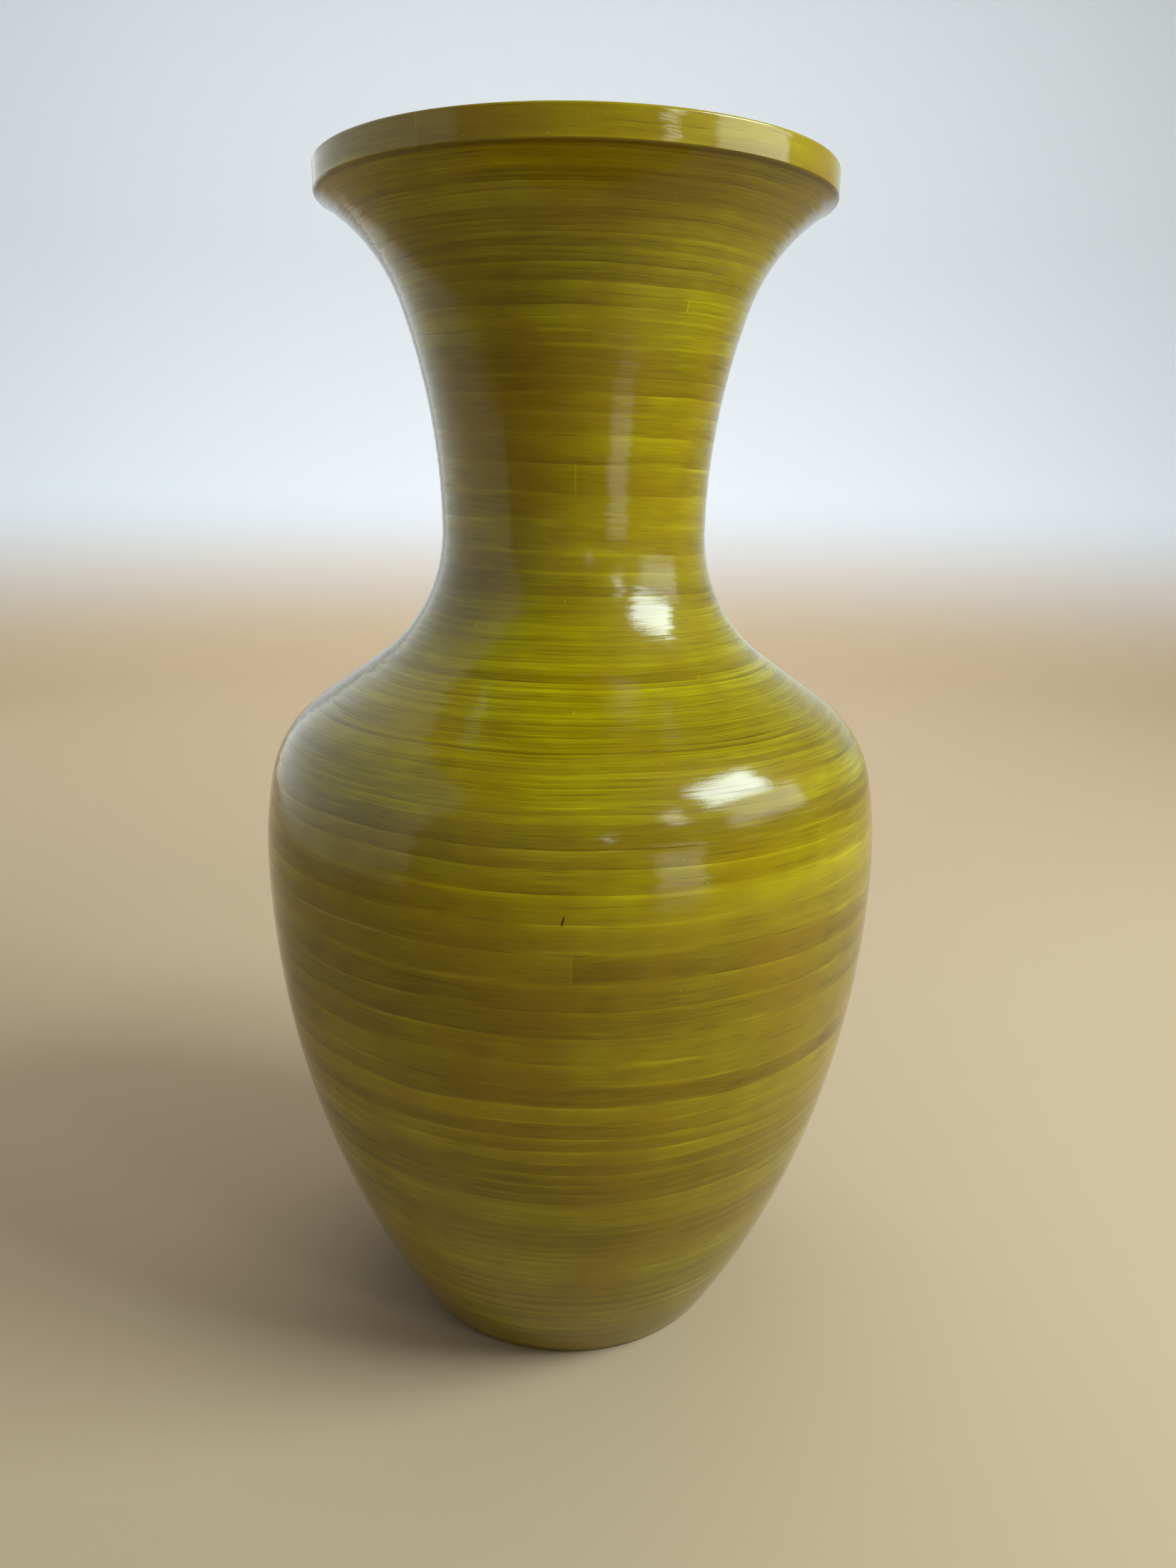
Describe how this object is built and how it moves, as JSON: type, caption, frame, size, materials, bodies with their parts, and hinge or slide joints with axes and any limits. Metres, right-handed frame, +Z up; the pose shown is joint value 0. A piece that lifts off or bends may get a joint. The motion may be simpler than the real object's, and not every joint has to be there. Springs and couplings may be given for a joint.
{
  "type": "vase",
  "caption": "Tall wound-bamboo vase with a wide round body, sloping shoulder, narrow neck and flared mouth, finished in glossy olive lacquer.",
  "frame": {"origin": "centre of the ring that the vase stands on, at the table", "axes": "+Z up along the vase's own axis; it is round, so +X and +Y are any two level directions, and the picture looks along +Y"},
  "size_m": [0.245, 0.245, 0.45],
  "materials": {
    "lacquered_bamboo": "high gloss lacquer"
  },
  "bodies": {
    "root": {"base_core": "lacquered_bamboo", "base_inner_coil": "lacquered_bamboo", "base_outer_coil": "lacquered_bamboo", "foot_coil": "lacquered_bamboo", "lower_body_coil_1": "lacquered_bamboo", "lower_body_coil_2": "lacquered_bamboo", "lower_body_coil_3": "lacquered_bamboo", "lower_body_coil_4": "lacquered_bamboo", "lower_body_coil_5": "lacquered_bamboo", "upper_body_coil": "lacquered_bamboo", "shoulder_coil": "lacquered_bamboo", "slope_coil": "lacquered_bamboo", "neck_coil_1": "lacquered_bamboo", "neck_coil_2": "lacquered_bamboo", "neck_coil_3": "lacquered_bamboo", "flare_coil_1": "lacquered_bamboo", "flare_coil_2": "lacquered_bamboo", "lip_coil_1": "lacquered_bamboo", "lip_coil_2": "lacquered_bamboo", "rim_band": "lacquered_bamboo"}
  },
  "joints": []
}
